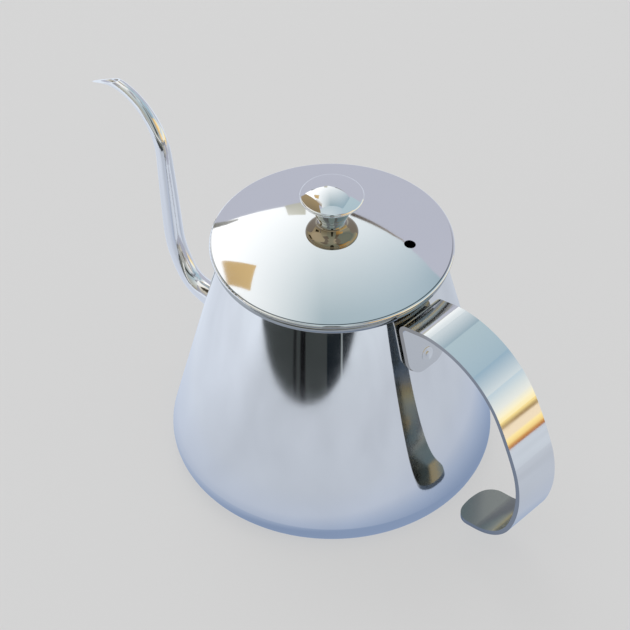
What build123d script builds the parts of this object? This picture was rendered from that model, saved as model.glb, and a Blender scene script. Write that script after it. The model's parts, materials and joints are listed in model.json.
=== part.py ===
from build123d import *
import math
import os

os.makedirs("parts", exist_ok=True)

# A hand-pour gooseneck kettle in stainless steel, with a loose lid.
# Frame: origin at the centre of the foot on the table, +X towards the spout,
# -X towards the handle, +Z up.  Millimetres and degrees throughout.

# ---- Body -----------------------------------------------------------------
BODY_SHEET = 0.8         # steel thickness of the wall and the base
MOUTH_Z = 99.6           # top of the rolled mouth bead
FOOT_LINE_R = 65.3       # where the wall's outer line would meet the table
NECK_R = 41.5            # wall's outer radius where it turns upright
NECK_RISE = 2.5          # height over which the wall turns upright
CURL_R = 2.4             # outer radius of the rolled bead's section
CURL_TURN = 255          # how far the bead is rolled
FOOT_RADIUS = 8.0        # rounding between wall and base
SEAM_R = 50.0            # joint between the body and the base plate
SEAM_GAP = 0.05
BASE_PANEL_R = 34.0      # flat middle of the base
BASE_RIB_W = 3.0         # flat top of the stiffening ring pressed up around it
BASE_BEND_R = 2.5        # bends on both sides of the ring
BASE_BEND = 40

# ---- Spout ----------------------------------------------------------------
SPOUT_SHEET = 0.6
SPOUT_Z = 31.8           # height at which the spout leaves the wall
SPOUT_LOW_R = 3.85       # outer radius just past the root flare
SPOUT_TIP_R = 2.15       # outer radius at the tip
SPOUT_TAPER = (0.3, 0.95)  # shares of the length between which it narrows
SPOUT_FLARE = 3.2        # extra radius at the root
SPOUT_FLARE_FADE = 9.0   # length over which the flare dies away
SPOUT_ROOT_RUN = 12.6    # straight length outside the wall
SPOUT_INSIDE = 8.0       # length inside the wall, trimmed off
SPOUT_BENDS = (          # ("bend", radius, turn) and ("run", length) from the root run
    ("bend", 12.7, 51.5),
    ("bend", 33.4, 33.3),
    ("run", 36.8),
    ("bend", 25.1, -54.7),
    ("bend", 23.8, -52.0),
    ("run", 7.6),
)
SPOUT_STEP = 6.0         # greatest distance between sections
SPOUT_MOUTH_DIP = 28.6   # slope of the cut mouth below level

# ---- Handle ---------------------------------------------------------------
STRIP_T = 1.8
STRIP_W = 20.0           # width where it leaves the wall
STRIP_FOOT_W = 20.6      # width at the curl
WELD_GAP = 0.05
TAB_BOTTOM_Z = 68.6
TAB_TOP_Z = 88.6
TAB_CORNER_R = 7.5
TAB_BEND_R = 3.1         # centreline radius of the bend out of the tab
BRIDGE_SLOPE = 12        # rise of the strip as it leaves the wall
BRIDGE_RUN = 6.5
GRIP_BENDS = (
    ("bend", 24.1, -12.0),
    ("bend", 38.6, -61.0),
    ("bend", 143.0, -8.0),
    ("bend", 41.4, -44.0),
    ("bend", 19.8, -59.5),
)
TIP_RUN = 11.6
TIP_END_R = 22.0         # convex end of the curl
TIP_CORNER_R = 7.0
WELD_MARK_Z = 74.2       # round spot weld mark on the tab
WELD_MARK_R = 2.1
WELD_MARK_DEPTH = 0.3

# ---- Lid ------------------------------------------------------------------
LID_SHEET = 0.6
LID_R = 46.0
LID_RISE = 4.0           # height of the dome above its edge
LID_SEAT_GAP = 0.6       # lid to mouth bead
HEM_R = 0.75             # outer radius of the rolled lid edge
HEM_TURN = 190
VENT_R = 2.2
VENT_FROM_AXIS = 29.3
VENT_AZIMUTH = -144.8
SKIRT_CLEARANCE = 0.5    # skirt to the mouth's bore, on the radius
SKIRT_DEPTH = 10.5
SKIRT_BEND_R = 1.2
SKIRT_FLANGE = 4.5
LID_JOINT_GAP = 0.05     # between pieces that are welded or clamped together

# ---- Knob -----------------------------------------------------------------
KNOB_H = 21.4            # from the dome to the top of the cap
KNOB_BELL_R = 9.9
KNOB_BELL_H = 1.1        # height of the widest place
KNOB_FOOT_R = 9.2
KNOB_NECK_R = 4.9
KNOB_NECK_H = 6.8        # height of the narrowest place
KNOB_BELL_TUCK = 1.9     # the bell narrows by this much in the next 2 mm
KNOB_FUNNEL_SPREAD = 1.9  # and the funnel widens by this much in its first 4.6 mm
KNOB_FUNNEL_START = 4.6
KNOB_RING_R = 0.25       # fine turned rings above the neck
KNOB_RINGS_AT = (0.18, 0.36)
KNOB_CAP_R = 12.0
KNOB_CAP_RISE = 1.9
KNOB_SHEET = 0.3
KNOB_HEM_R = 0.85
KNOB_CRIMP = 0.8         # how far the cap's edge is rolled in under the stem's flange
SCREW_R = 2.0            # M4
SCREW_LENGTH = 13.0
SCREW_HEAD_R = 3.8
SCREW_HEAD_H = 2.6
SCREW_CLEARANCE = 0.25
INSERT_R = 3.4
INSERT_RECESS = 2.0      # boss ends this far below the stem's flange
WASHER_R = 5.0
WASHER_T = 0.8
LOCK_WASHER_R = 3.6
LOCK_WASHER_T = 1.0
LOCK_WASHER_SPLIT = 0.6


# ---- Helpers --------------------------------------------------------------
def direction(angle):
    return math.cos(math.radians(angle)), math.sin(math.radians(angle))


def advance(point, heading, step):
    """Follow one run or bend from a point; return the middle, the end and the new heading."""
    r, z = point
    if step[0] == "run":
        dr, dz = direction(heading)
        length = step[1]
        return (r + dr * length / 2, z + dz * length / 2), (r + dr * length, z + dz * length), heading
    radius, turn = step[1], step[2]
    side = math.copysign(90, turn)
    dr, dz = direction(heading + side)
    centre = (r + dr * radius, z + dz * radius)
    places = []
    for part in (turn / 2, turn):
        dr, dz = direction(heading + part - side)
        places.append((centre[0] + dr * radius, centre[1] + dz * radius))
    return places[0], places[1], heading + turn


def path_end(start, heading, steps):
    point = start
    for step in steps:
        middle, point, heading = advance(point, heading, step)
    return point, heading


def bent_sheet(start, heading, steps, thickness):
    """Section through a sheet of even thickness that follows runs and bends.

    Points are (radius or X, Z).  A bend's radius is that of the sheet's middle,
    and a positive turn bends to the left."""
    edges = []
    ends = []
    for side in (1, -1):
        dr, dz = direction(heading + 90)
        point = (start[0] + side * dr * thickness / 2, start[1] + side * dz * thickness / 2)
        ends.append([point])
        angle = heading
        for step in steps:
            if step[0] == "bend":
                offset = -side * math.copysign(thickness / 2, step[2])
                step = ("bend", step[1] + offset, step[2])
            middle, end, angle = advance(point, angle, step)
            here, half, there = [Vector(p[0], 0, p[1]) for p in (point, middle, end)]
            if step[0] == "run":
                edges.append(Edge.make_line(here, there))
            else:
                edges.append(Edge.make_three_point_arc(here, half, there))
            point = end
        ends[-1].append(point)
    for index in (0, 1):
        here, there = ends[0][index], ends[1][index]
        edges.append(Edge.make_line(Vector(here[0], 0, here[1]), Vector(there[0], 0, there[1])))
    return Face(Wire(edges))


def cap_arc(edge_r, rise, hem_r):
    """Radius and turn of a pressed dome whose rolled edge reaches edge_r."""
    reach = edge_r - hem_r
    radius = (reach ** 2 + rise ** 2) / (2 * rise)
    return radius, math.degrees(math.asin(reach / (radius - hem_r)))


def ring(outer, inner, bottom, height):
    """Upright ring, or a disc where the inner radius is 0."""
    solid = Cylinder(outer, height, align=(Align.CENTER, Align.CENTER, Align.MIN))
    if inner > 0:
        solid -= Cylinder(inner, height, align=(Align.CENTER, Align.CENTER, Align.MIN))
    return Pos(0, 0, bottom) * solid


def save(shape, name):
    export_step(shape, os.path.join("parts", name + ".step"))


# ---- Body shell and base ---------------------------------------------------
NECK_Z = MOUTH_Z - CURL_R - NECK_RISE
TAPER = math.degrees(math.atan((FOOT_LINE_R - NECK_R) / NECK_Z))
TAN_TAPER = math.tan(math.radians(TAPER))
COS_TAPER = math.cos(math.radians(TAPER))
SIN_TAPER = math.sin(math.radians(TAPER))


def wall_r(z):
    """Outer radius of the conical wall at a height."""
    return FOOT_LINE_R - z * TAN_TAPER


foot_centre_r = wall_r(FOOT_RADIUS) - FOOT_RADIUS / COS_TAPER
neck_bend_r = NECK_RISE / SIN_TAPER
wall_length = (NECK_Z - FOOT_RADIUS * (1 + SIN_TAPER)) / COS_TAPER
mouth_bore_r = NECK_R - neck_bend_r * (1 - COS_TAPER) - BODY_SHEET


def body_shell():
    steps = (
        ("run", foot_centre_r - SEAM_R),
        ("bend", FOOT_RADIUS - BODY_SHEET / 2, 90 + TAPER),
        ("run", wall_length),
        ("bend", neck_bend_r + BODY_SHEET / 2, -TAPER),
        ("bend", CURL_R - BODY_SHEET / 2, -CURL_TURN),
    )
    shell = revolve(bent_sheet((SEAM_R, BODY_SHEET / 2), 0, steps, BODY_SHEET), Axis.Z)
    hole = Cylinder(spout_bore_r(0), 2 * SPOUT_INSIDE, rotation=(0, 90, 0))
    return shell - Pos(wall_r(SPOUT_Z), 0, SPOUT_Z) * hole


def base_plate():
    up = (("bend", BASE_BEND_R, BASE_BEND), ("bend", BASE_BEND_R, -BASE_BEND))
    down = (("bend", BASE_BEND_R, -BASE_BEND), ("bend", BASE_BEND_R, BASE_BEND))
    pressed = (("run", BASE_PANEL_R),) + up + (("run", BASE_RIB_W),) + down
    start = (0, BODY_SHEET / 2)
    reached = path_end(start, 0, pressed)[0]
    rim = ("run", SEAM_R - SEAM_GAP - reached[0])
    return revolve(bent_sheet(start, 0, pressed + (rim,), BODY_SHEET), Axis.Z)


# ---- Spout -----------------------------------------------------------------
def spout_outer_r(distance):
    """Outer radius at a distance along the spout from the wall."""
    first, last = SPOUT_TAPER
    share = min(1, max(0, (distance / spout_length - first) / (last - first)))
    flare = SPOUT_FLARE * math.exp(-max(distance, 0) / SPOUT_FLARE_FADE)
    return SPOUT_LOW_R + (SPOUT_TIP_R - SPOUT_LOW_R) * share ** 2 * (3 - 2 * share) + flare


def spout_bore_r(distance):
    return spout_outer_r(distance) - SPOUT_SHEET


def step_length(step):
    return step[1] if step[0] == "run" else step[1] * math.radians(abs(step[2]))


spout_steps = (("run", SPOUT_INSIDE), ("run", SPOUT_ROOT_RUN)) + SPOUT_BENDS
spout_length = sum(step_length(step) for step in spout_steps[1:])


def spout_stations():
    """Places (distance from the wall, point, heading) along the middle of the spout."""
    point, heading = (wall_r(SPOUT_Z) - SPOUT_INSIDE, SPOUT_Z), 0
    distance = -SPOUT_INSIDE
    stations = [(distance, point, heading)]
    for step in spout_steps:
        pieces = max(1, math.ceil(step_length(step) / SPOUT_STEP))
        if step[0] == "run":
            piece = ("run", step[1] / pieces)
        else:
            piece = ("bend", step[1], step[2] / pieces)
        for count in range(pieces):
            middle, point, heading = advance(point, heading, piece)
            distance += step_length(piece)
            stations.append((distance, point, heading))
    return stations


def spout_skin(radius_at):
    """Smooth solid through round sections along the spout."""
    sections = []
    for distance, point, heading in spout_stations():
        dr, dz = direction(heading)
        plane = Plane(origin=(point[0], 0, point[1]), x_dir=(0, 1, 0), z_dir=(dr, 0, dz))
        sections.append(plane * Circle(radius_at(distance)))
    return loft(sections)


def spout_tube():
    tube = spout_skin(spout_outer_r) - spout_skin(spout_bore_r)
    tube -= Cone(FOOT_LINE_R, NECK_R, NECK_Z, align=(Align.CENTER, Align.CENTER, Align.MIN))
    tip, heading = spout_stations()[-1][1:]
    down = direction(heading - 90)
    lip = Vector(tip[0] + SPOUT_TIP_R * down[0], 0, tip[1] + SPOUT_TIP_R * down[1])
    above = direction(90 - SPOUT_MOUTH_DIP)
    mouth = Plane(origin=lip, x_dir=(0, 1, 0), z_dir=(above[0], 0, above[1]))
    size = 12 * SPOUT_LOW_R
    return tube - mouth * Box(size, size, size, align=(Align.CENTER, Align.CENTER, Align.MIN))


# ---- Handle ----------------------------------------------------------------
def half_width(z):
    """Half the strip's width at a height: it widens evenly towards the curl."""
    return (STRIP_FOOT_W + (STRIP_W - STRIP_FOOT_W) * z / MOUTH_Z) / 2


def handle_strip():
    off_wall = WELD_GAP + STRIP_T / 2
    start = (wall_r(TAB_BOTTOM_Z) + off_wall / COS_TAPER, TAB_BOTTOM_Z)
    steps = (
        ("run", (TAB_TOP_Z - TAB_BOTTOM_Z) / COS_TAPER),
        ("bend", TAB_BEND_R, BRIDGE_SLOPE - 90 - TAPER),
        ("run", BRIDGE_RUN),
    ) + GRIP_BENDS + (("run", TIP_RUN),)
    section = bent_sheet(start, 90 + TAPER, steps, STRIP_T)
    strip = extrude(section, STRIP_FOOT_W / 2, dir=(0, 1, 0), both=True)
    tip = path_end(start, 90 + TAPER, steps)[0]
    half_top, half_foot = STRIP_W / 2, STRIP_FOOT_W / 2
    front = Plane.YZ * make_face(Polyline((-half_top, MOUTH_Z), (-half_foot, 0), (half_foot, 0),
                                          (half_top, MOUTH_Z), close=True))
    strip &= extrude(front, 3 * FOOT_LINE_R)

    plan = Pos(tip[0] + TIP_END_R, 0) * (Circle(TIP_END_R) & Rectangle(2 * TIP_END_R, half_width(tip[1]) * 2))
    plan = fillet(plan.vertices().filter_by_position(Axis.X, 0, tip[0] + TIP_END_R / 2), TIP_CORNER_R)
    around_tip = Pos(tip[0], 0, tip[1]) * Box(TIP_END_R, 2 * STRIP_FOOT_W, 4 * STRIP_T)
    strip -= around_tip - Pos(0, 0, tip[1] - 3 * STRIP_T) * extrude(plan, 6 * STRIP_T)

    tab_ends = strip.edges().filter_by_position(Axis.Z, TAB_BOTTOM_Z - STRIP_T, TAB_BOTTOM_Z + STRIP_T)
    tab_ends = tab_ends.filter_by(lambda edge: abs(edge.length - STRIP_T) < 0.01)
    strip = fillet(tab_ends, TAB_CORNER_R)

    mark_x = wall_r(WELD_MARK_Z) + (WELD_GAP + STRIP_T) / COS_TAPER
    face_dir = direction(TAPER)
    mark = Plane(origin=(mark_x, 0, WELD_MARK_Z), x_dir=(0, 1, 0), z_dir=(face_dir[0], 0, face_dir[1]))
    strip -= mark * Torus(WELD_MARK_R, WELD_MARK_DEPTH)
    return Rot(0, 0, 180) * strip


# ---- Lid -------------------------------------------------------------------
dome_r, dome_turn = cap_arc(LID_R, LID_RISE, HEM_R)                  # outer face of the dome
bead_r = mouth_bore_r + CURL_R                                       # radius of the bead's crest
dome_centre_z = MOUTH_Z + LID_SEAT_GAP - math.sqrt((dome_r - LID_SHEET) ** 2 - bead_r ** 2)
DOME_TOP_Z = dome_centre_z + dome_r


def dome_under_z(r):
    """Height of the dome's underside at a radius."""
    return dome_centre_z + math.sqrt((dome_r - LID_SHEET) ** 2 - r ** 2)


def lid_dome():
    steps = (
        ("bend", dome_r - LID_SHEET / 2, -dome_turn),
        ("bend", HEM_R - LID_SHEET / 2, -HEM_TURN),
    )
    dome = revolve(bent_sheet((0, DOME_TOP_Z - LID_SHEET / 2), 0, steps, LID_SHEET), Axis.Z)
    dome -= ring(SCREW_R + SCREW_CLEARANCE, 0, DOME_TOP_Z - LID_RISE, 2 * LID_RISE)
    dr, dy = direction(VENT_AZIMUTH)
    vent = ring(VENT_R, 0, DOME_TOP_Z - LID_RISE, 2 * LID_RISE)
    return dome - Pos(VENT_FROM_AXIS * dr, VENT_FROM_AXIS * dy, 0) * vent


def lid_skirt():
    skirt_r = mouth_bore_r - SKIRT_CLEARANCE - LID_SHEET / 2
    flange_mid_r = skirt_r - SKIRT_BEND_R - SKIRT_FLANGE / 2
    slope = math.degrees(math.asin(flange_mid_r / dome_r))
    bend_turn = 90 - slope
    bend = (("bend", SKIRT_BEND_R, bend_turn), ("run", SKIRT_FLANGE / 2))
    rise = path_end((skirt_r, 0), 90, bend)[0]
    top = dome_under_z(rise[0]) - LID_JOINT_GAP - LID_SHEET / 2 / math.cos(math.radians(slope)) - rise[1]
    steps = (
        ("run", SKIRT_DEPTH),
        ("bend", SKIRT_BEND_R, bend_turn),
        ("run", SKIRT_FLANGE),
    )
    return revolve(bent_sheet((skirt_r, top - SKIRT_DEPTH), 90, steps, LID_SHEET), Axis.Z)


# ---- Knob ------------------------------------------------------------------
KNOB_BASE_Z = DOME_TOP_Z + LID_JOINT_GAP
KNOB_TOP_Z = DOME_TOP_Z + KNOB_H
cap_r, cap_turn = cap_arc(KNOB_CAP_R, KNOB_CAP_RISE, KNOB_HEM_R)
flange_r = KNOB_CAP_R - KNOB_HEM_R
flange_mid_z = KNOB_TOP_Z - cap_r + (cap_r - KNOB_HEM_R) * math.cos(math.radians(cap_turn))
flange_t = 2 * (KNOB_HEM_R - KNOB_SHEET - LID_JOINT_GAP)


def knob_cap():
    """Pressed cap with its edge rolled under the stem's flange."""
    steps = (
        ("bend", cap_r - KNOB_SHEET / 2, -cap_turn),
        ("bend", KNOB_HEM_R - KNOB_SHEET / 2, cap_turn - 180),
        ("run", KNOB_CRIMP),
    )
    return revolve(bent_sheet((0, KNOB_TOP_Z - KNOB_SHEET / 2), 0, steps, KNOB_SHEET), Axis.Z)


def knob_stem():
    """Turned spool: bell foot, narrow neck with fine rings, and a funnel that ends in a thin flange."""
    base, neck = KNOB_BASE_Z, KNOB_BASE_Z + KNOB_NECK_H
    bell_z = base + KNOB_BELL_H
    funnel_r = flange_r - KNOB_CRIMP - KNOB_HEM_R / 2
    under_z = flange_mid_z - flange_t / 2
    top_z = flange_mid_z + flange_t / 2
    bell = Spline((KNOB_BELL_R, 0, bell_z), (KNOB_BELL_R - KNOB_BELL_TUCK, 0, bell_z + 2.0), (KNOB_NECK_R, 0, neck),
                  tangents=[(-0.1, 0, 1), (-0.05, 0, 1)])
    funnel = Spline((KNOB_NECK_R, 0, neck), (KNOB_NECK_R + KNOB_FUNNEL_SPREAD, 0, neck + KNOB_FUNNEL_START), (funnel_r, 0, under_z),
                    tangents=[(0.3, 0, 1), (1, 0, 0.8)])
    outline = Curve() + [
        Line((INSERT_R, 0, base), (KNOB_FOOT_R, 0, base)),
        ThreePointArc((KNOB_FOOT_R, 0, base), (KNOB_BELL_R - 0.15, 0, base + 0.4 * KNOB_BELL_H),
                      (KNOB_BELL_R, 0, bell_z)),
        bell,
        funnel,
        Polyline((funnel_r, 0, under_z), (flange_r, 0, under_z), (flange_r, 0, top_z),
                 (INSERT_R, 0, top_z), (INSERT_R, 0, base)),
    ]
    spool = revolve(make_face(outline), Axis.Z)
    for share in KNOB_RINGS_AT:
        place = funnel.position_at(share)
        spool -= Pos(0, 0, place.Z) * Torus(place.X, KNOB_RING_R)
    return spool


def knob_insert():
    """Threaded boss inside the stem."""
    height = flange_mid_z - flange_t / 2 - KNOB_BASE_Z - INSERT_RECESS
    return ring(INSERT_R - LID_JOINT_GAP, SCREW_R, KNOB_BASE_Z, height)


# ---- Screw and washers, from the underside of the lid ------------------------
washer_top_z = dome_under_z(WASHER_R) - LID_JOINT_GAP
lock_top_z = washer_top_z - WASHER_T - LID_JOINT_GAP
head_top_z = lock_top_z - LOCK_WASHER_T - LID_JOINT_GAP


def knob_screw():
    head = ring(SCREW_HEAD_R, 0, head_top_z - SCREW_HEAD_H, SCREW_HEAD_H)
    head = fillet(head.edges().sort_by(Axis.Z)[0], SCREW_HEAD_H / 2)
    shank = ring(SCREW_R - LID_JOINT_GAP, 0, head_top_z, SCREW_LENGTH)
    slot = Box(1.6 * SCREW_R, SCREW_R / 3, SCREW_HEAD_H)
    recess = Pos(0, 0, head_top_z - SCREW_HEAD_H) * (slot + Rot(0, 0, 90) * slot)
    return head + shank - recess


def knob_lock_washer():
    washer = ring(LOCK_WASHER_R, SCREW_R + SCREW_CLEARANCE, lock_top_z - LOCK_WASHER_T, LOCK_WASHER_T)
    cut = Box(2 * LOCK_WASHER_R, LOCK_WASHER_SPLIT, 4 * LOCK_WASHER_T)
    return washer - Pos(LOCK_WASHER_R, 0, lock_top_z) * Rot(20, 0, 0) * cut


def knob_washer():
    return ring(WASHER_R, SCREW_R + SCREW_CLEARANCE, washer_top_z - WASHER_T, WASHER_T)


save(body_shell(), "body_shell")
save(base_plate(), "base_plate")
save(spout_tube(), "spout_tube")
save(handle_strip(), "handle_strip")
save(lid_dome(), "lid_dome")
save(lid_skirt(), "lid_skirt")
save(knob_cap(), "knob_cap")
save(knob_stem(), "knob_stem")
save(knob_insert(), "knob_insert")
save(knob_screw(), "knob_screw")
save(knob_washer(), "knob_washer")
save(knob_lock_washer(), "knob_lock_washer")
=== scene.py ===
"""Looks of a stainless steel gooseneck kettle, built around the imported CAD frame.

Metres, in the frame of the kettle: +X to the spout, -X to the handle, +Z up.
The studio is laid out by bearings from the camera: 0 is straight behind the
kettle, 90 to the right of the picture, 180 at the camera.
"""
import json
import math

import bpy
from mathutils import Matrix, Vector


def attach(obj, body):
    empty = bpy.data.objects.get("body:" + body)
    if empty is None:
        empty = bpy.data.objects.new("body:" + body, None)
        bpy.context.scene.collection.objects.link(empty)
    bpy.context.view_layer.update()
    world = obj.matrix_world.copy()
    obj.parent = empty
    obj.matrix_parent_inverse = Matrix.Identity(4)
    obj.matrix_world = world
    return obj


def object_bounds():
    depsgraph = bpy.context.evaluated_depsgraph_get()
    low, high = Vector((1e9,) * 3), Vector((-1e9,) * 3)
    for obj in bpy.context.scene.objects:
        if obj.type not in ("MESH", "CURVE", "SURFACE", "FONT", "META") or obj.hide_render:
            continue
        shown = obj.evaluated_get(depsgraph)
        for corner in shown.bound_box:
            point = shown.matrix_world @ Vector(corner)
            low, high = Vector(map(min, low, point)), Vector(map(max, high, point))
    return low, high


VIEW_AZIMUTH = 223.0         # degrees; 0 looks along +Y
VIEW_ELEVATION = 43.2
VIEW_POINT = (-0.4958, 0.5319, 0.7457)
LENS = 148.6                 # mm on a 36 mm sensor
LENS_SHIFT = -0.0262         # the lens axis points right of the picture's centre
CLIP_START = 0.01

PALE = 0.672                 # linear value of the background
FLOOR_GREY = 0.79
DAYLIGHT = 0.62              # even light of the world
LAMP_PLACE = (-22, 48)       # bearing and elevation of the soft window lamp
LAMP_SIZE = (1.6, 1.2)
LAMP_WATTS = 11.0
FLOOR_FLATNESS = 0.75        # share of the floor that the camera sees without shading
FLOOR_SEEN_WITH_PAINTED_SHADOW = (               # (metres from the foot, colour) of the floor as steel sees it, darker and bluer near the foot as painted shadow
    (0.060, (0.26, 0.34, 0.50)),
    (0.074, (0.39, 0.47, 0.62)),
    (0.090, (0.54, 0.60, 0.71)),
    (0.120, (0.57, 0.62, 0.70)),
    (0.220, (0.585, 0.63, 0.70)),
    (0.320, (0.69, 0.75, 0.82)),
)
SKY_DISTANCE = 2.0           # reflected sheets of the sky stand this far away
LID_CENTRE = Vector((0.0, 0.0, 0.102))
BOARD_DISTANCE = 0.5         # upright boards round the table
GROUND_HEIGHT = 0.0005       # sheets lying on the floor
SHEET_STEPS = 8
SHEET_SPACING = 0.01         # each sheet of the sky stands this share of the distance nearer than the last
FLOOR_RADIUS = 12.0
FLOOR_SIDES = 96
FLOOR_CENTRE = (0.012, 0.018)    # metres right and near; FLOOR_SEEN_WITH_PAINTED_SHADOW is measured from here, so the painted shadow lies more to the right and near
FLOOR_PAINTED_LIGHT_BEARING = -45     # painted light: the floor as steel sees it grows lighter this way
FLOOR_PAINTED_LIGHT_REACH = (0.03, 0.1)
FLOOR_PAINTED_LIGHT = (1.0, 1.25)
FLOOR_PATCH_SCALE = 14       # slow unevenness of the floor as steel sees it
FLOOR_PATCH_NOISE = (0.35, 0.65)
FLOOR_PATCH_GAIN = (0.97, 1.04)

# The studio as polished steel sees it, and as nothing else does.  Each sheet has four corners,
# going round from the lower left, and the colour at each corner.  Corners are (bearing, elevation)
# in the sky, (bearing, height) on a board, and (metres to the right, metres towards the camera)
# on the ground.
SKY = {
    "window_left": (
        [(-27, 33.5), (-3, 32.2), (-3, 68), (-27, 68)],
        [(1.55, 1.55, 1.55), (1.13, 1.17, 1.17), (0.35, 0.47, 0.52), (0.9, 0.95, 0.95)],
    ),
    "window_right": (
        [(-3, 32.2), (27, 49), (36, 70), (-3, 68)],
        [(1.13, 1.17, 1.17), (0.31, 0.44, 0.52), (0.36, 0.5, 0.58), (0.35, 0.47, 0.52)],
    ),
    "overhead": (
        [(-60, 68), (60, 68), (60, 104), (-60, 104)],
        [(0.7, 0.8, 0.82), (0.45, 0.58, 0.66), (0.7, 0.78, 0.8), (0.95, 0.98, 0.98)],
    ),
    "sky_right": (
        [(24, 45), (125, 42), (125, 71), (33, 71)],
        [(0.52, 0.66, 0.71), (0.37, 0.53, 0.65), (0.48, 0.61, 0.69), (0.5, 0.64, 0.7)],
    ),
    "sky_low": (
        [(50, 20), (125, 20), (125, 43.5), (50, 43.5)],
        [(0.9, 0.96, 0.95), (0.9, 0.96, 0.95), (0.37, 0.53, 0.65), (0.37, 0.53, 0.65)],
    ),
    "tan_wall": (
        [(-22.2, 43.0), (-16.8, 47.2), (-21.4, 52.8), (-24.0, 49)],
        [(0.66, 0.47, 0.22), (0.74, 0.52, 0.24), (0.72, 0.52, 0.25), (0.6, 0.42, 0.2)],
    ),
    "tan_post": (
        [(-7.4, 32.2), (-4.0, 31.6), (-4.4, 35.6), (-7.3, 35.2)],
        [(0.56, 0.56, 0.48), (0.56, 0.56, 0.48), (0.66, 0.66, 0.56), (0.8, 0.8, 0.72)],
    ),
    "brown_edge": (
        [(-30, 52), (-23.4, 52), (-20.6, 62), (-27, 66)],
        [(0.3, 0.2, 0.1), (0.95, 0.93, 0.88), (0.85, 0.87, 0.85), (0.3, 0.2, 0.1)],
    ),
    "sill_left": (
        [(-20, 32.6), (-15.2, 33.2), (-15.4, 33.6), (-20, 34.2)],
        [(0.2, 0.2, 0.17), (0.5, 0.5, 0.48), (0.5, 0.5, 0.48), (0.1, 0.1, 0.08)],
    ),
    "sill_right": (
        [(3.2, 34.9), (14, 41.2), (14, 41.5), (3.2, 36.0)],
        [(0.1, 0.08, 0.06), (0.4, 0.36, 0.32), (0.4, 0.36, 0.32), (0.1, 0.08, 0.06)],
    ),
    "camera_side": (
        [(150, 0), (215, 0), (215, 60), (150, 60)],
        [(0.42, 0.46, 0.46), (0.42, 0.44, 0.4), (0.52, 0.64, 0.68), (0.48, 0.6, 0.62)],
    ),
    "overhead_near": (
        [(150, 60), (215, 60), (215, 89), (150, 89)],
        [(0.52, 0.64, 0.68), (0.48, 0.6, 0.62), (0.7, 0.8, 0.84), (0.75, 0.85, 0.88)],
    ),
    "bright_left": (
        [(262, 40), (315, 40), (315, 74), (262, 74)],
        [(1.0, 1.0, 0.95), (1.15, 1.12, 1.05), (1.2, 1.18, 1.13), (0.96, 1.01, 0.97)],
    ),
    "cream_left": (
        [(270, 8), (312, 8), (312, 40), (270, 40)],
        [(0.5, 0.46, 0.36), (0.7, 0.7, 0.62), (1.0, 0.98, 0.9), (0.9, 0.86, 0.76)],
    ),
    "brown_left": (
        [(314, 33), (333, 35), (334, 60), (314, 76)],
        [(0.3, 0.24, 0.15), (0.42, 0.32, 0.18), (0.4, 0.3, 0.16), (0.26, 0.2, 0.11)],
    ),
    "gold_left": (
        [(215, 2), (262, 2), (262, 12), (215, 12)],
        [(0.36, 0.31, 0.2), (0.4, 0.36, 0.26), (0.5, 0.5, 0.42), (0.46, 0.46, 0.4)],
    ),
    "pale_left": (
        [(215, 12), (262, 12), (262, 60), (215, 60)],
        [(0.46, 0.46, 0.4), (0.5, 0.5, 0.42), (0.9, 0.95, 0.92), (0.6, 0.7, 0.72)],
    ),
    "gold_right": (
        [(100, 4), (150, 4), (150, 46), (100, 40)],
        [(1.7, 1.25, 0.6), (0.9, 0.62, 0.28), (0.5, 0.36, 0.18), (1.3, 0.95, 0.45)],
    ),
    "dark_post": (
        [(170, 8), (188, 8), (186, 62), (173, 62)],
        [(0.02, 0.025, 0.02), (0.02, 0.025, 0.02), (0.1, 0.1, 0.09), (0.1, 0.1, 0.09)],
    ),
    "dark_left": (
        [(278, 22), (300, 22), (300, 36), (278, 36)],
        [(0.1, 0.09, 0.06), (0.1, 0.09, 0.06), (0.04, 0.03, 0.02), (0.04, 0.03, 0.02)],
    ),
}
SUNSET = (                   # (height, colour) up the board on the right
    (0.000, (0.40, 0.12, 0.03)),
    (0.008, (0.72, 0.34, 0.10)),
    (0.013, (1.10, 0.80, 0.30)),
    (0.025, (1.25, 1.02, 0.45)),
    (0.029, (1.08, 0.90, 0.64)),
    (0.050, (1.08, 0.90, 0.64)),
    (0.052, (0.34, 0.20, 0.08)),
    (0.055, (0.45, 0.30, 0.12)),
    (0.059, (1.18, 0.92, 0.38)),
    (0.075, (1.22, 1.02, 0.50)),
    (0.110, (1.20, 1.10, 0.75)),
    (0.160, (0.98, 1.00, 0.92)),
    (0.300, (0.62, 0.76, 0.84)),
)
SUNSET_BEARINGS = (55, 122)
TABLE_EDGE = ((-0.30, 0.114), (0.9, 0.774))     # pale table ends here, dark ground beyond
DARK_DEPTH = 2.5
DARK_GROUND = (0.045, 0.052, 0.052)
DARK_STRIPS = (              # corners on the ground, and the colour of the strip
    ([(-0.113, 0.218), (-0.104, 0.2225), (-0.187, 0.314), (-0.198, 0.301)], (0.012, 0.013, 0.014)),
    ([(-0.093, 0.228), (-0.079, 0.2355), (-0.147, 0.350), (-0.170, 0.331)], (0.006, 0.006, 0.007)),
    ([(-0.017, 0.270), (0.0325, 0.2965), (0.052, 0.392), (-0.029, 0.396)], (0.006, 0.010, 0.014)),
    ([(0.036, 0.298), (0.043, 0.302), (0.063, 0.390), (0.056, 0.391)], (0.32, 0.36, 0.37)),
    ([(0.045, 0.303), (0.095, 0.331), (0.150, 0.362), (0.066, 0.389)], (0.006, 0.010, 0.014)),
)
STRIP_HEIGHT = 0.0008
HORIZON_BEARINGS = (124, 250)
HORIZON = (                  # (height, colour) up a board on the camera's side, seen in rolled edges
    (0.000, (0.22, 0.23, 0.2)),
    (0.070, (0.16, 0.17, 0.15)),
    (0.080, (1.05, 1.05, 1.0)),
    (0.120, (0.9, 0.92, 0.9)),
    (0.130, (0.14, 0.14, 0.12)),
    (0.150, (0.4, 0.42, 0.4)),
)
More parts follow.
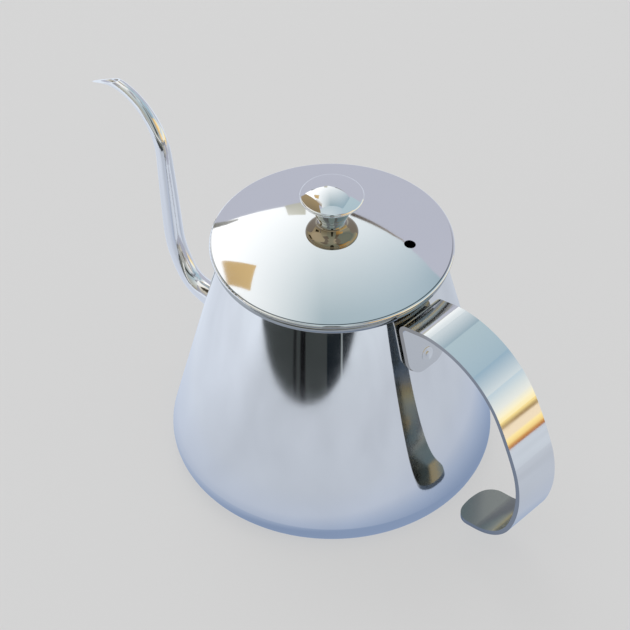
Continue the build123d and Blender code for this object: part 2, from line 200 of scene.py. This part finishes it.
FAR_WALL = (0.555, 0.575, 0.665)     # what steel sees where no sheet stands, behind the kettle
NEAR_WALL = (0.30, 0.29, 0.28)       # and on the camera's side
WALL_TURN = (0.3, 0.6)       # from the near to the far colour, as shares of the way behind the kettle

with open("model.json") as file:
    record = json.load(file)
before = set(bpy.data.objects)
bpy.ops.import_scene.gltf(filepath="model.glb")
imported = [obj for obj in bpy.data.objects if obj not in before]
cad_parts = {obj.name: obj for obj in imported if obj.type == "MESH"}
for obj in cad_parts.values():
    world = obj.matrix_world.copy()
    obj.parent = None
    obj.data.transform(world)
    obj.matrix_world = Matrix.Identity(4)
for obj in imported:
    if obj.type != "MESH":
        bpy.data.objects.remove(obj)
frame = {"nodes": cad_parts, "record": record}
bpy.context.view_layer.update()
cad_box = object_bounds()

camera_back = Vector((
    math.sin(math.radians(VIEW_AZIMUTH)) * math.cos(math.radians(VIEW_ELEVATION)),
    -math.cos(math.radians(VIEW_AZIMUTH)) * math.cos(math.radians(VIEW_ELEVATION)),
    math.sin(math.radians(VIEW_ELEVATION)),
))


def compass(bearing):
    """Level unit vector towards a bearing."""
    turn = math.radians(VIEW_AZIMUTH + 90 - bearing)
    return Vector((math.cos(turn), math.sin(turn), 0))


# ---- Node helpers ------------------------------------------------------------
def tree_of(owner):
    """Empty node tree of a material or world."""
    owner.use_nodes = True
    tree = owner.node_tree
    tree.nodes.clear()
    return tree


def node(tree, kind, inputs=None, **settings):
    """New node; inputs maps a socket's name or number to a value or to another node's output."""
    made = tree.nodes.new(kind)
    for key, value in settings.items():
        setattr(made, key, value)
    for key, value in (inputs or {}).items():
        if isinstance(value, bpy.types.NodeSocket):
            tree.links.new(value, made.inputs[key])
        else:
            made.inputs[key].default_value = value
    return made


def ramp(tree, factor, stops):
    """Colour ramp through (place, grey or colour) stops."""
    made = node(tree, "ShaderNodeValToRGB", {"Fac": factor})
    bar = made.color_ramp
    while len(bar.elements) < len(stops):
        bar.elements.new(0.5)
    for element, (place, value) in zip(bar.elements, stops):
        colour = (value,) * 3 if isinstance(value, (int, float)) else value
        element.position = place
        element.color = (*colour, 1)
    return made.outputs["Color"]


def noise(tree, stretch, scale, detail=2.0, rough=0.5):
    """Noise in the object's own space, stretched by a factor along each axis."""
    place = node(tree, "ShaderNodeTexCoord").outputs["Object"]
    mapped = node(tree, "ShaderNodeMapping", {"Vector": place, "Scale": stretch}).outputs["Vector"]
    made = node(tree, "ShaderNodeTexNoise",
                {"Vector": mapped, "Scale": scale, "Detail": detail, "Roughness": rough})
    return made.outputs["Fac"]


# ---- Steel -------------------------------------------------------------------
SMEAR_SCALE = 38             # wiping marks: how many to the metre
SMEAR_DETAIL, SMEAR_ROUGHNESS = 4, 0.6
SMEAR_NOISE = (0.3, 0.7)
SMEAR_TONE = 0.97            # colour of the steel where it is wiped, against where it is not
SMEAR_DULLING = 0.35         # share by which the roughness goes down and up
LINE_DETAIL, LINE_ROUGHNESS = 3, 0.7
BLUR_TURN = 0.25             # polishing lines run level, so the blur is turned upright


def steel(name, colour, roughness, grain, grain_height, anisotropy=0.0):
    """Stainless steel: grain is the stretch of its polishing lines, in lines per metre along each axis."""
    material = bpy.data.materials.new(name)
    tree = tree_of(material)
    smear = noise(tree, (1, 1, 1), SMEAR_SCALE, SMEAR_DETAIL, SMEAR_ROUGHNESS)
    lines = noise(tree, grain, 1, LINE_DETAIL, LINE_ROUGHNESS)
    wiped = [channel * SMEAR_TONE for channel in colour]
    tone = node(tree, "ShaderNodeMix", {0: smear, 6: (*wiped, 1), 7: (*colour, 1)}, data_type="RGBA")
    low, high = roughness * (1 - SMEAR_DULLING), roughness * (1 + SMEAR_DULLING)
    rough = node(tree, "ShaderNodeMapRange",
                 {0: smear, 1: SMEAR_NOISE[0], 2: SMEAR_NOISE[1], 3: low, 4: high})
    bump = node(tree, "ShaderNodeBump", {"Height": lines, "Strength": 1.0, "Distance": grain_height})
    shader = node(tree, "ShaderNodeBsdfPrincipled", {
        "Base Color": tone.outputs[2], "Metallic": 1.0, "Roughness": rough.outputs[0],
        "Normal": bump.outputs["Normal"], "Anisotropic": anisotropy,
    })
    if anisotropy:
        around = node(tree, "ShaderNodeTangent", direction_type="RADIAL", axis="Z")
        tree.links.new(around.outputs["Tangent"], shader.inputs["Tangent"])
        shader.inputs["Anisotropic Rotation"].default_value = BLUR_TURN
    node(tree, "ShaderNodeOutputMaterial", {"Surface": shader.outputs["BSDF"]})
    return material


LATHE_LINES = (6, 6, 2600)   # lines run round the axis
STRIP_LINES = (40, 2600, 40)     # lines run along the handle
TUBE_LINES = (300, 300, 40)
BLASTED = (900, 900, 900)    # no direction
FINISHES = {
    "body_steel": steel("body_steel_finish", (0.86, 0.86, 0.87), 0.055, LATHE_LINES, 0.0000006, 0.85),
    "spout_steel": steel("spout_steel_finish", (0.82, 0.82, 0.84), 0.10, TUBE_LINES, 0.000001),
    "handle_steel": steel("handle_steel_finish", (0.82, 0.82, 0.83), 0.045, STRIP_LINES, 0.0000003),
    "lid_steel": steel("lid_steel_finish", (0.84, 0.84, 0.85), 0.035, LATHE_LINES, 0.0000001),
    "inner_steel": steel("inner_steel_finish", (0.72, 0.72, 0.73), 0.3, LATHE_LINES, 0.000002, 0.5),
    "fastener_steel": steel("fastener_steel_finish", (0.62, 0.62, 0.63), 0.28, BLASTED, 0.000004),
}
for row in frame["record"]["subparts"]:
    for place in frame["nodes"][row["node"]].material_slots:
        place.material = FINISHES[row["material_slot"]]


# ---- Painted shade and reflection, and a greyer tab ----------------------------
# Each place is a range of heights, radii or of a part of the surface's normal, in metres or 0 to 1.
INSIDE_FACING = (0.32, 0.42)         # the strip's inner side faces the body
# painted shade: the strip's inner side and the curl's top are darkened to stand in for the dark they mirror
INSIDE_PAINTED_SHADE, INSIDE_ROUGHNESS = (0.24, 0.25, 0.24), 0.22
CURL_FACING = (0.3, 0.5)             # and on the curl it faces up
CURL_HEIGHTS = (0.032, 0.028)
EDGE_FACING = (0.5, 0.7)             # the strip's cut edges face sideways
# painted shadow lines along the strip's cut edges
EDGE_PAINTED_SHADOW = (0.48, 0.46, 0.44)
TAB_PLACE, TAB_FADE = (-0.0525, 0.0), 0.0005
TAB_GREY, TAB_ROUGHNESS = (0.70, 0.70, 0.71), 0.12
KNOB_FOOT_HEIGHTS, KNOB_FOOT_FADE = (0.1030, 0.1105), 0.0006
# painted shade and reflection on the knob's foot, for the cap above it
KNOB_FOOT_PAINTED_SHADE = (0.30, 0.245, 0.165)
KNOB_NECK_HEIGHTS, KNOB_NECK_FADE = (0.1112, 0.1210), 0.0008
# painted shade on the knob's neck under the cap
KNOB_NECK_PAINTED_SHADE = (0.26, 0.28, 0.25)
LID_LINE_RADII, LID_LINE_FADE = (0.0450, 0.0453), 0.00015
LID_LINE_ENDS = (-0.012, 0.02)       # the line fades in between these distances towards the camera
# painted dark reflection line near the lid's edge
LID_LINE_PAINTED_REFLECTION = (0.14, 0.16, 0.17)
HEM_HEIGHTS, HEM_FADE = (0.0985, 0.09975), 0.0001
# painted shade on the lid's hem
HEM_PAINTED_SHADE = (0.42, 0.42, 0.42)
BEAD_HEIGHTS, BEAD_FADE = (0.0955, 0.0982), 0.0002
# painted shade on the body's bead under the lid's hem
BEAD_PAINTED_SHADE = (0.42, 0.43, 0.43)


def fade(tree, value, ends):
    """Rises from 0 at the first end to 1 at the second."""
    return node(tree, "ShaderNodeMapRange", {0: value, 1: ends[0], 2: ends[1]}).outputs[0]


def combine(tree, one, other, operation):
    return node(tree, "ShaderNodeMath", {0: one, 1: other}, operation=operation).outputs[0]


def within(tree, value, ends, soft):
    """1 where the value lies between the ends, fading over soft outside them."""
    low, high = ends
    return combine(tree, fade(tree, value, (low - soft, low)), fade(tree, value, (high + soft, high)), "MULTIPLY")


def retint(material, mask, tint, roughness=None):
    """Where the mask is 1, the finish takes this colour and roughness instead."""
    tree = material.node_tree
    shader = next(n for n in tree.nodes if n.type == "BSDF_PRINCIPLED")
    polished = shader.inputs["Base Color"].links[0].from_socket
    colour = node(tree, "ShaderNodeMix", {0: mask, 6: polished, 7: (*tint, 1)}, data_type="RGBA")
    tree.links.new(colour.outputs[2], shader.inputs["Base Color"])
    if roughness is not None:
        smooth = shader.inputs["Roughness"].links[0].from_socket
        rough = node(tree, "ShaderNodeMix", {0: mask, 2: smooth, 3: roughness}, data_type="FLOAT")
        tree.links.new(rough.outputs[0], shader.inputs["Roughness"])


def place_axes(tree):
    """Outputs X, Y and Z of the point on the object."""
    place = node(tree, "ShaderNodeTexCoord").outputs["Object"]
    return node(tree, "ShaderNodeSeparateXYZ", {0: place}).outputs


def facing_axes(tree):
    """Outputs X, Y and Z of the surface's normal."""
    normal = node(tree, "ShaderNodeNewGeometry").outputs["Normal"]
    return node(tree, "ShaderNodeSeparateXYZ", {0: normal}).outputs


def paint_handle_shade_and_tab(material):
    """Painted shade: the strip's inner side, which is also rougher, is darkened to stand in for the dark it mirrors,
    and its cut edges are darkened as painted shadow lines; its tab is a little greyer.
    """
    tree = material.node_tree
    spot, facing = place_axes(tree), facing_axes(tree)
    inward = fade(tree, facing["X"], INSIDE_FACING)
    curl = combine(tree, fade(tree, facing["Z"], CURL_FACING), fade(tree, spot["Z"], CURL_HEIGHTS), "MULTIPLY")
    inside = combine(tree, inward, curl, "MAXIMUM")
    sideways = node(tree, "ShaderNodeMath", {0: facing["Y"]}, operation="ABSOLUTE")
    edge = fade(tree, sideways.outputs[0], EDGE_FACING)
    retint(material, within(tree, spot["X"], TAB_PLACE, TAB_FADE), TAB_GREY, TAB_ROUGHNESS)
    retint(material, edge, EDGE_PAINTED_SHADOW)
    retint(material, inside, INSIDE_PAINTED_SHADE, INSIDE_ROUGHNESS)


def paint_knob_shade(material):
    """Painted shade and reflection: the knob's turned foot is darker and browner than the lid, and its neck is
    darker, standing in for the cap above them, which they don't mirror.
    """
    tree = material.node_tree
    height = place_axes(tree)["Z"]
    retint(material, within(tree, height, KNOB_FOOT_HEIGHTS, KNOB_FOOT_FADE), KNOB_FOOT_PAINTED_SHADE)
    retint(material, within(tree, height, KNOB_NECK_HEIGHTS, KNOB_NECK_FADE), KNOB_NECK_PAINTED_SHADE)


def paint_rim_shade(lid, body):
    """Painted shade on the hem and bead, and a painted dark reflection line near the lid's edge, only on the half
    towards the camera.
    """
    tree = lid.node_tree
    place = node(tree, "ShaderNodeTexCoord").outputs["Object"]
    level = node(tree, "ShaderNodeVectorMath", {0: place, 1: (1, 1, 0)}, operation="MULTIPLY").outputs["Vector"]
    radius = node(tree, "ShaderNodeVectorMath", {0: level}, operation="LENGTH").outputs["Value"]
    toward = node(tree, "ShaderNodeVectorMath", {0: place, 1: compass(180)}, operation="DOT_PRODUCT")
    front = fade(tree, toward.outputs["Value"], LID_LINE_ENDS)
    ring = within(tree, radius, LID_LINE_RADII, LID_LINE_FADE)
    retint(lid, combine(tree, ring, front, "MULTIPLY"), LID_LINE_PAINTED_REFLECTION)
    retint(lid, within(tree, place_axes(tree)["Z"], HEM_HEIGHTS, HEM_FADE), HEM_PAINTED_SHADE)
    tree = body.node_tree
    retint(body, within(tree, place_axes(tree)["Z"], BEAD_HEIGHTS, BEAD_FADE), BEAD_PAINTED_SHADE)


paint_handle_shade_and_tab(FINISHES["handle_steel"])
paint_rim_shade(FINISHES["lid_steel"], FINISHES["body_steel"])
# the lid's steel with painted shade on the knob's foot and neck
knob_steel_painted_shade = FINISHES["lid_steel"].copy()
knob_steel_painted_shade.name = "knob_steel_painted_shade"
paint_knob_shade(knob_steel_painted_shade)
for place in frame["nodes"]["knob_stem"].material_slots:
    place.material = knob_steel_painted_shade
for knob_piece in ("knob_cap", "knob_stem", "knob_insert", "knob_screw", "knob_washer", "knob_lock_washer"):
    frame["nodes"][knob_piece].visible_glossy = False       # the lid doesn't mirror its knob


# ---- Spot weld on the tab --------------------------------------------------------
WELD_CENTRE = Vector((-0.048556, 0.0, 0.0742))
WELD_FACING = Vector((-0.97, 0.0, 0.244))
WELD_PROFILE = (             # (radius, height) of the pressed mark, outwards
    (0.0002, 0.00020), (0.0006, 0.00018), (0.0009, 0.00011), (0.0011, 0.00004), (0.0018, 0.00003),
    (0.0021, 0.00007), (0.0024, 0.00009), (0.0027, 0.00006), (0.0029, 0.00001),
)
WELD_STEPS = 48


def lathe(name, profile, steps, material):
    """Turned skin about Z through (radius, height) points, closed in the middle."""
    points = [(radius * math.cos(2 * math.pi * k / steps), radius * math.sin(2 * math.pi * k / steps), height)
              for radius, height in profile for k in range(steps)]
    faces = []
    for row in range(len(profile) - 1):
        inner, outer = row * steps, (row + 1) * steps
        faces += [(inner + k, outer + k, outer + (k + 1) % steps, inner + (k + 1) % steps) for k in range(steps)]
    faces.append(tuple(range(steps)))
    mesh = bpy.data.meshes.new(name)
    mesh.from_pydata(points, [], faces)
    mesh.shade_smooth()
    mesh.materials.append(material)
    thing = bpy.data.objects.new(name, mesh)
    bpy.context.scene.collection.objects.link(thing)
    return thing


weld = lathe("spot_weld", WELD_PROFILE, WELD_STEPS, FINISHES["handle_steel"].copy())
weld.location = WELD_CENTRE
weld.rotation_mode = "QUATERNION"
weld.rotation_quaternion = WELD_FACING.to_track_quat("Z", "Y")
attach(weld, "kettle")


# ---- Studio ------------------------------------------------------------------
def in_sky(bearing, elevation, distance=SKY_DISTANCE):
    """Point in a direction seen from the middle of the lid."""
    rise = math.radians(elevation)
    return LID_CENTRE + (compass(bearing) * math.cos(rise) + Vector((0, 0, math.sin(rise)))) * distance


def on_board(bearing, height):
    return compass(bearing) * BOARD_DISTANCE + Vector((0, 0, height))


def on_ground(right, near):
    return compass(90) * right + compass(180) * near + Vector((0, 0, GROUND_HEIGHT))


def mixed(corners, s, t):
    """Value between four corners, listed round from the lower left."""
    low = Vector(corners[0]).lerp(Vector(corners[1]), s)
    high = Vector(corners[3]).lerp(Vector(corners[2]), s)
    return low.lerp(high, t)


def glow():
    """Emits the colour stored at each point of a sheet."""
    material = bpy.data.materials.new("sheet_glow")
    tree = tree_of(material)
    colour = node(tree, "ShaderNodeAttribute", attribute_name="glow_colour")
    light = node(tree, "ShaderNodeEmission", {"Color": colour.outputs["Color"]})
    node(tree, "ShaderNodeOutputMaterial", {"Surface": light.outputs["Emission"]})
    return material


def sheet(name, place, corners, colours):
    """Glowing sheet between four corners that only steel sees: it lights nothing and has no shadow."""
    count = SHEET_STEPS + 1
    spots = [(s / SHEET_STEPS, t / SHEET_STEPS) for t in range(count) for s in range(count)]
    points = [tuple(place(*mixed(corners, s, t))) for s, t in spots]
    faces = [(i + count * j, i + 1 + count * j, i + 1 + count * (j + 1), i + count * (j + 1))
             for j in range(SHEET_STEPS) for i in range(SHEET_STEPS)]
    mesh = bpy.data.meshes.new(name)
    mesh.from_pydata(points, [], faces)
    shade = mesh.color_attributes.new("glow_colour", "FLOAT_COLOR", "POINT")
    for index, (s, t) in enumerate(spots):
        shade.data[index].color = (*mixed(colours, s, t), 1)
    mesh.materials.append(sheet_glow)
    thing = bpy.data.objects.new(name, mesh)
    bpy.context.scene.collection.objects.link(thing)
    thing.visible_camera = thing.visible_diffuse = thing.visible_shadow = False
    thing.visible_transmission = thing.visible_volume_scatter = False
    return thing


sheet_glow = glow()
for order, (name, (corners, colours)) in enumerate(SKY.items()):
    distance = SKY_DISTANCE * (1 - SHEET_SPACING * order)        # later sheets stand in front
    sheet(name, lambda bearing, elevation: in_sky(bearing, elevation, distance), corners, colours)

BOARDS = (("sunset", SUNSET_BEARINGS, SUNSET), ("horizon", HORIZON_BEARINGS, HORIZON))
for name, (left, right), stops in BOARDS:
    for (low, low_colour), (high, high_colour) in zip(stops, stops[1:]):
        sheet(name, on_board, [(left, low), (right, low), (right, high), (left, high)],
              [low_colour, low_colour, high_colour, high_colour])

(left, left_near), (right, right_near) = TABLE_EDGE
dark_corners = [(left, left_near + DARK_DEPTH), (right, right_near + DARK_DEPTH),
                (right, right_near), (left, left_near)]
sheet("dark_ground", on_ground, dark_corners, [DARK_GROUND] * 4)
for corners, colour in DARK_STRIPS:
    sheet("dark_strip", on_ground, corners, [colour] * 4).location.z = STRIP_HEIGHT


# ---- Floor, world, lamps and camera --------------------------------------------
def floor_material():
    """Pale floor.  The camera sees it mostly flat, with some shading; steel sees its own, bluer colour, with a
    painted shadow round the foot and painted light growing towards the back left, the lamp's side.
    """
    material = bpy.data.materials.new("floor_finish")
    tree = tree_of(material)
    place = node(tree, "ShaderNodeTexCoord").outputs["Object"]
    centre = compass(90) * FLOOR_CENTRE[0] + compass(180) * FLOOR_CENTRE[1]
    offset = node(tree, "ShaderNodeVectorMath", {0: place, 1: centre}, operation="SUBTRACT").outputs["Vector"]
    reach = node(tree, "ShaderNodeVectorMath", {0: offset}, operation="LENGTH").outputs["Value"]
    # painted shadow round the foot, in the floor as steel sees it
    near = ramp(tree, reach, FLOOR_SEEN_WITH_PAINTED_SHADOW)
    # painted light towards the lamp's side, in the floor as steel sees it
    aside = node(tree, "ShaderNodeVectorMath", {0: place, 1: compass(FLOOR_PAINTED_LIGHT_BEARING)},
                 operation="DOT_PRODUCT")
    lift = node(tree, "ShaderNodeMapRange", {
        0: aside.outputs["Value"], 1: FLOOR_PAINTED_LIGHT_REACH[0], 2: FLOOR_PAINTED_LIGHT_REACH[1], 3: FLOOR_PAINTED_LIGHT[0], 4: FLOOR_PAINTED_LIGHT[1],
    })
    patchy = node(tree, "ShaderNodeMapRange", {
        0: noise(tree, (1, 1, 1), FLOOR_PATCH_SCALE), 1: FLOOR_PATCH_NOISE[0], 2: FLOOR_PATCH_NOISE[1],
        3: FLOOR_PATCH_GAIN[0], 4: FLOOR_PATCH_GAIN[1],
    })
    gain = combine(tree, lift.outputs[0], patchy.outputs[0], "MULTIPLY")
    seen = node(tree, "ShaderNodeVectorMath", {0: near, "Scale": gain}, operation="SCALE")
    path = node(tree, "ShaderNodeLightPath")
    lit = node(tree, "ShaderNodeBsdfDiffuse", {"Color": (FLOOR_GREY, FLOOR_GREY, FLOOR_GREY, 1)})
    glossy = path.outputs["Is Glossy Ray"]
    colour = node(tree, "ShaderNodeMix", {0: glossy, 6: (PALE, PALE, PALE, 1), 7: seen.outputs[0]},
                  data_type="RGBA")
    flat = node(tree, "ShaderNodeEmission", {"Color": colour.outputs[2]})
    share = node(tree, "ShaderNodeMath", {0: path.outputs["Is Camera Ray"], 1: FLOOR_FLATNESS, 2: glossy},
                 operation="MULTIPLY_ADD")
    both = node(tree, "ShaderNodeMixShader", {0: share.outputs[0], 1: lit.outputs[0], 2: flat.outputs[0]})
    node(tree, "ShaderNodeOutputMaterial", {"Surface": both.outputs[0]})
    return material


bpy.ops.mesh.primitive_circle_add(vertices=FLOOR_SIDES, radius=FLOOR_RADIUS, fill_type="NGON",
                                  location=(0, 0, cad_box[0].z))
floor = bpy.context.object
floor.name = "floor"
floor.data.materials.append(floor_material())

world = bpy.data.worlds.new("studio")
bpy.context.scene.world = world
tree = tree_of(world)
ray_path = node(tree, "ShaderNodeLightPath")
direction = node(tree, "ShaderNodeTexCoord").outputs["Generated"]
behind = node(tree, "ShaderNodeVectorMath", {0: direction, 1: compass(0)}, operation="DOT_PRODUCT")
wall = ramp(tree, fade(tree, behind.outputs["Value"], (-1.0, 1.0)),
            [(WALL_TURN[0], NEAR_WALL), (WALL_TURN[1], FAR_WALL)])
lit = node(tree, "ShaderNodeMix",
           {0: ray_path.outputs["Is Glossy Ray"], 6: (DAYLIGHT, DAYLIGHT, DAYLIGHT, 1), 7: wall},
           data_type="RGBA")
shown = node(tree, "ShaderNodeMix",
             {0: ray_path.outputs["Is Camera Ray"], 6: lit.outputs[2], 7: (PALE, PALE, PALE, 1)},
             data_type="RGBA")
background = node(tree, "ShaderNodeBackground", {"Color": shown.outputs[2]})
node(tree, "ShaderNodeOutputWorld", {"Surface": background.outputs["Background"]})

lamp_data = bpy.data.lights.new("window_lamp", "AREA")
lamp_data.shape = "RECTANGLE"
lamp_data.size, lamp_data.size_y = LAMP_SIZE
lamp_data.energy = LAMP_WATTS
lamp = bpy.data.objects.new("window_lamp", lamp_data)
bpy.context.scene.collection.objects.link(lamp)
lamp.location = in_sky(*LAMP_PLACE)
lamp.rotation_mode = "QUATERNION"
lamp.rotation_quaternion = (LID_CENTRE - lamp.location).to_track_quat("-Z", "Y")
lamp.visible_glossy = lamp.visible_camera = False

camera = bpy.data.objects.new("camera", bpy.data.cameras.new("camera"))
bpy.context.scene.collection.objects.link(camera)
camera.location = VIEW_POINT
camera.rotation_mode = "QUATERNION"
camera.rotation_quaternion = (-camera_back).to_track_quat("-Z", "Y")
camera.data.lens = LENS
camera.data.shift_x = LENS_SHIFT
camera.data.clip_start = CLIP_START
bpy.context.scene.camera = camera
bpy.context.scene.view_settings.view_transform = "Standard"

bpy.context.view_layer.update()
